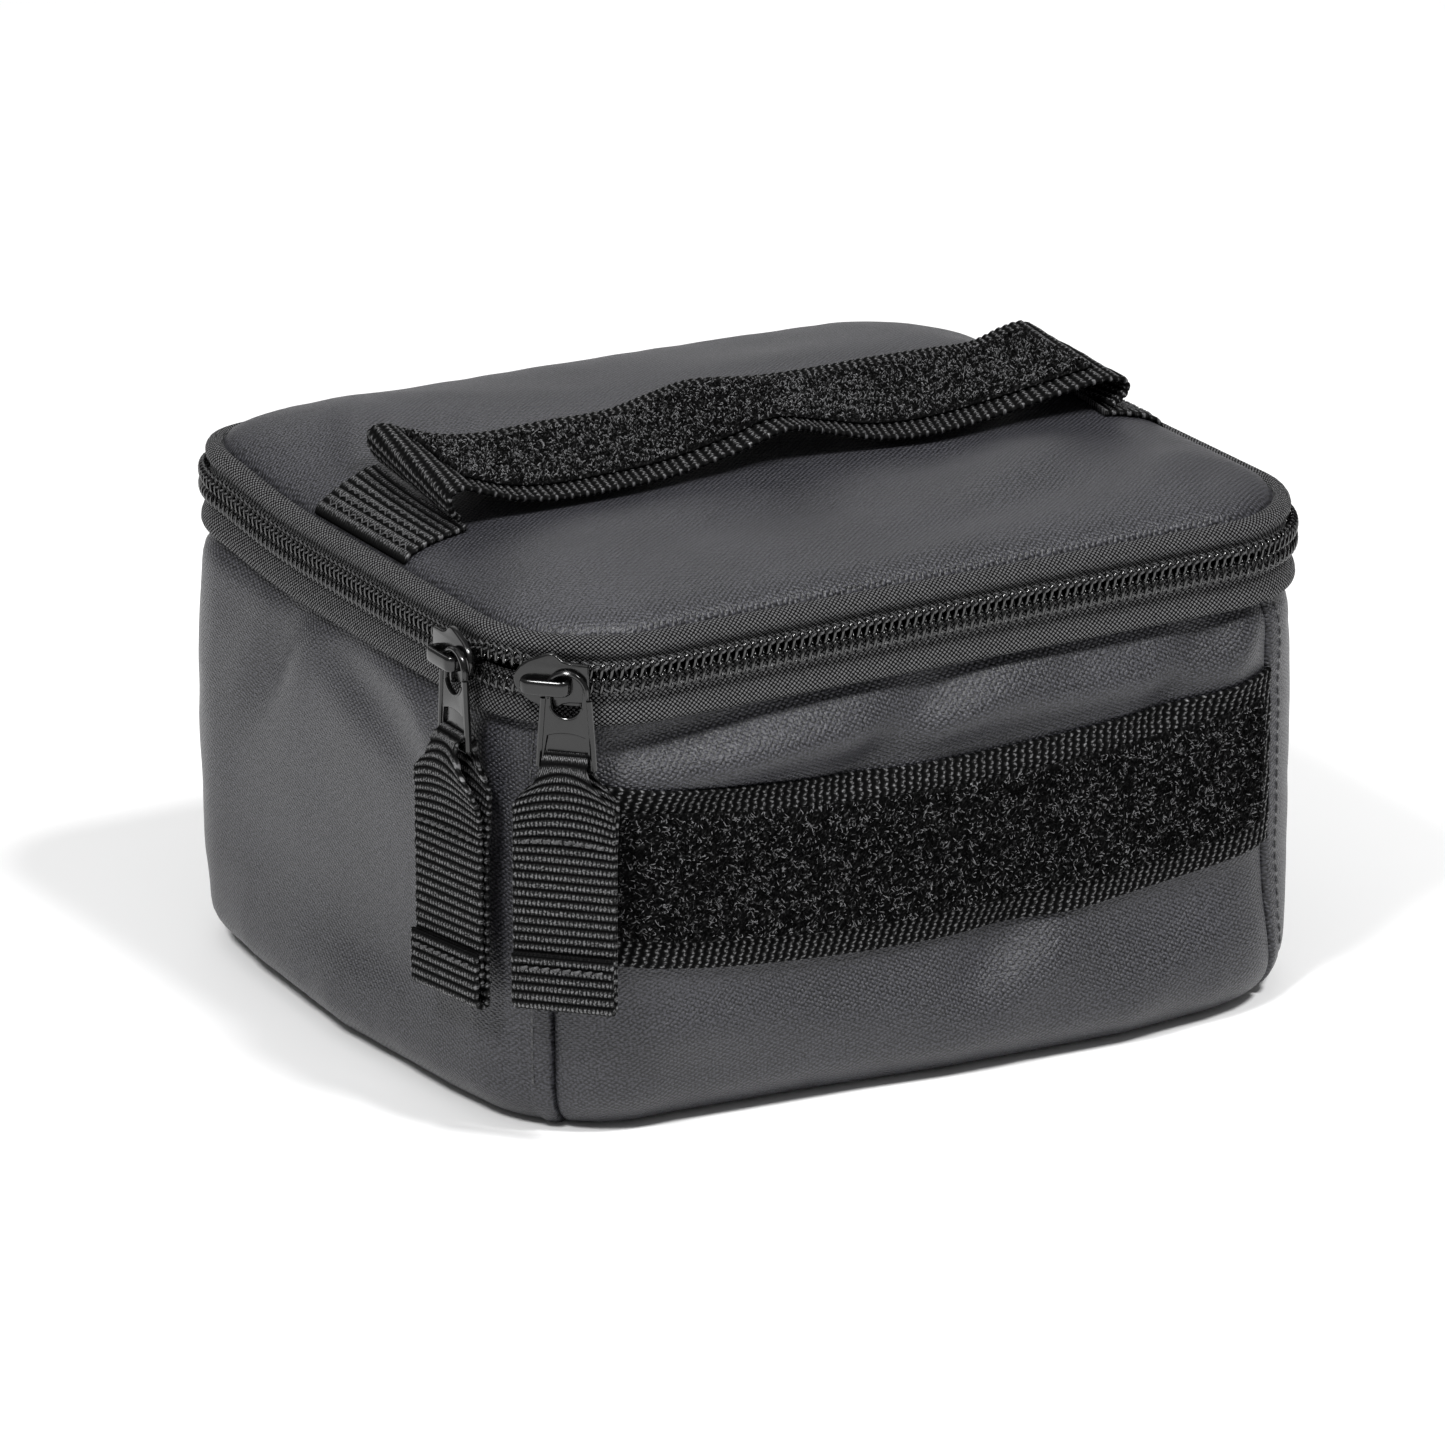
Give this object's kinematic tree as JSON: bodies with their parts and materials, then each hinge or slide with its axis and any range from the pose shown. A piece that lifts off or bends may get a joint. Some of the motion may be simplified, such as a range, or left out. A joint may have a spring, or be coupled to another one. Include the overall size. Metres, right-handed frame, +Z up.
{
  "type": "padded carry case",
  "caption": "Small rectangular padded fabric case with a zipped lid, webbing handle, loop-strip fields and two zipper pulls with webbing tabs.",
  "frame": {"origin": "middle of the case's base, on the surface that it stands on", "axes": "+X along the case's length to its right end, -Y out of the front with the loop strip, +Z up"},
  "size_m": [0.2216, 0.1883, 0.1371],
  "materials": {
    "coated_fabric": "satin coated twill",
    "foam": "closed-cell foam",
    "stiffener": "matte",
    "lining": "woven nylon",
    "binding": "woven tape",
    "zipper_tape": "woven polyester tape",
    "zipper_coil": "satin monofilament",
    "webbing": "ribbed nylon webbing",
    "loop_pile": "napped loop pile",
    "thread": "bonded thread",
    "black_metal": "satin black enamel"
  },
  "bodies": {
    "case": {"front_panel": "coated_fabric", "back_panel": "coated_fabric", "left_end_panel": "coated_fabric", "right_end_panel": "coated_fabric", "base_panel": "coated_fabric", "front_foam": "foam", "back_foam": "foam", "left_foam": "foam", "right_foam": "foam", "base_board": "stiffener", "base_foam": "foam", "wall_lining": "lining", "floor_lining": "lining", "rim_binding": "binding", "lower_zipper_tape": "zipper_tape", "lower_zipper_coil": "zipper_coil", "zipper_end_tabs": "binding", "hinge_tape_lower": "binding", "front_webbing": "webbing", "front_loop_strip": "loop_pile", "corner_topstitching": "thread"},
    "lid": {"lid_panel": "coated_fabric", "lid_foam": "foam", "lid_lining": "lining", "upper_zipper_tape": "zipper_tape", "upper_zipper_coil": "zipper_coil", "hinge_tape_upper": "binding", "handle_anchor_left": "webbing", "handle_anchor_right": "webbing"},
    "handle": {"handle_grip": "webbing", "handle_loop_strip": "loop_pile"},
    "left_slider": {"left_slider": "black_metal"},
    "right_slider": {"right_slider": "black_metal"},
    "left_pull": {"left_pull": "black_metal"},
    "right_pull": {"right_pull": "black_metal"},
    "left_strap": {"left_strap": "webbing"},
    "right_strap": {"right_strap": "webbing"}
  },
  "joints": [
    {"name": "lid_hinge", "type": "hinge", "parent": "case", "child": "lid", "pos_m": [0, 0.0905, 0.109], "axis": [-1, 0, 0], "range_deg": [0, 180]},
    {"name": "handle_lift", "type": "slide", "parent": "lid", "child": "handle", "axis": [0, 0, 1], "range_m": [0, 0.018]},
    {"name": "left_slider_run", "type": "slide", "parent": "case", "child": "left_slider", "axis": [0, 1, 0], "range_m": [0, 0.105]},
    {"name": "right_slider_run", "type": "hinge", "parent": "case", "child": "right_slider", "pos_m": [-0.074, -0.06, 0.109], "axis": [0, 0, 1], "range_deg": [0, 45]},
    {"name": "left_pull_swing", "type": "hinge", "parent": "left_slider", "child": "left_pull", "pos_m": [-0.11005, -0.0619, 0.1072], "axis": [1, 0, 0], "range_deg": [0, 35]},
    {"name": "right_pull_swing", "type": "hinge", "parent": "right_slider", "child": "right_pull", "pos_m": [-0.09673, -0.08825, 0.1072], "axis": [-0.7071, -0.7071, 0], "range_deg": [0, 90]},
    {"name": "left_tab_lift", "type": "hinge", "parent": "left_pull", "child": "left_strap", "pos_m": [-0.11005, -0.0619, 0.0902], "axis": [0, 1, 0], "range_deg": [0, 110]},
    {"name": "right_tab_lift", "type": "hinge", "parent": "right_pull", "child": "right_strap", "pos_m": [-0.09673, -0.08825, 0.0902], "axis": [-0.7071, 0.7071, 0], "range_deg": [0, 110]}
  ]
}
